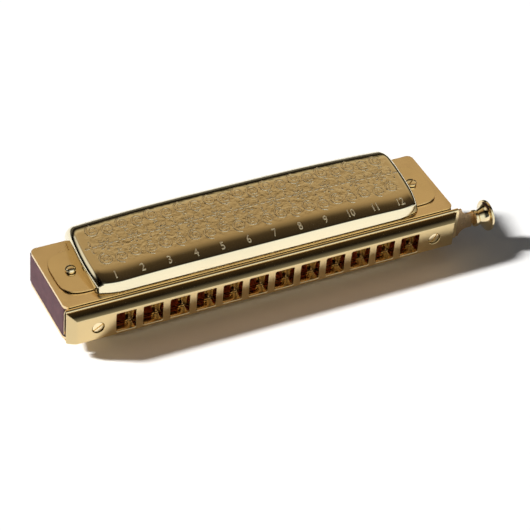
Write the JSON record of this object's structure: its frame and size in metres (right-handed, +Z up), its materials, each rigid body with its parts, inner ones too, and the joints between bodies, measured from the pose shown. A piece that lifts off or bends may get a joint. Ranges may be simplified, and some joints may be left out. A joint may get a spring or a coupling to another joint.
{
  "type": "chromatic harmonica",
  "caption": "Chromatic harmonica with a wooden comb, plated covers and a sprung slide worked by a button at the right end.",
  "frame": {"origin": "centre of the flat of the lower cover, on which the instrument lies on a table", "axes": "+X along the holes towards the button, +Y from the lips to the back, +Z up from the table; the instrument's own axes are tipped 10.2 degrees about X, mouthpiece down"},
  "size_m": [0.1557, 0.0393, 0.0325],
  "materials": {
    "stained_wood": "stained hardwood, satin, open pores",
    "reed_brass": "rolled sheet, bright",
    "cover_plating": "champagne gold plating, polished, engraved field",
    "mouthpiece_plating": "gold plating, polished",
    "fastener_plating": "gold plating, polished",
    "strip_brass": "bright strip",
    "slide_plating": "plated, polished",
    "button_plating": "gold plating, turned and polished",
    "bumper_rubber": "soft black",
    "spring_steel": "drawn wire",
    "valve_film": "thin two-layer film"
  },
  "bodies": {
    "body": {"comb": "stained_wood", "cover_lower": "cover_plating", "cover_nut_left": "fastener_plating", "cover_nut_right": "fastener_plating", "cover_screw_left": "fastener_plating", "cover_screw_right": "fastener_plating", "cover_upper": "cover_plating", "mouthpiece": "mouthpiece_plating", "mouthpiece_screw_left": "fastener_plating", "mouthpiece_screw_right": "fastener_plating", "plate_nail_lower_1": "reed_brass", "plate_nail_lower_2": "reed_brass", "plate_nail_lower_3": "reed_brass", "plate_nail_lower_4": "reed_brass", "plate_nail_lower_5": "reed_brass", "plate_nail_lower_6": "reed_brass", "plate_nail_upper_1": "reed_brass", "plate_nail_upper_2": "reed_brass", "plate_nail_upper_3": "reed_brass", "plate_nail_upper_4": "reed_brass", "plate_nail_upper_5": "reed_brass", "plate_nail_upper_6": "reed_brass", "reed_plate_lower": "reed_brass", "reed_plate_upper": "reed_brass", "return_spring": "spring_steel", "slide_backplate": "strip_brass", "slide_bumper_left": "bumper_rubber", "slide_bumper_right": "bumper_rubber", "slide_channel": "strip_brass", "valve_lower_01": "valve_film", "valve_lower_02": "valve_film", "valve_lower_03": "valve_film", "valve_lower_04": "valve_film", "valve_lower_05": "valve_film", "valve_lower_06": "valve_film", "valve_lower_07": "valve_film", "valve_lower_08": "valve_film", "valve_lower_09": "valve_film", "valve_lower_10": "valve_film", "valve_upper_01": "valve_film", "valve_upper_02": "valve_film", "valve_upper_03": "valve_film", "valve_upper_04": "valve_film", "valve_upper_05": "valve_film", "valve_upper_06": "valve_film", "valve_upper_07": "valve_film", "valve_upper_08": "valve_film", "valve_upper_09": "valve_film", "valve_upper_10": "valve_film"},
    "slide_and_button": {"slide": "slide_plating", "button": "button_plating"}
  },
  "joints": [
    {"name": "slide_press", "type": "slide", "parent": "body", "child": "slide_and_button", "axis": [-1, 0, 0], "range_m": [0, 0.0047], "stiffness_N_per_m": 250, "deforming": ["return_spring"]}
  ]
}
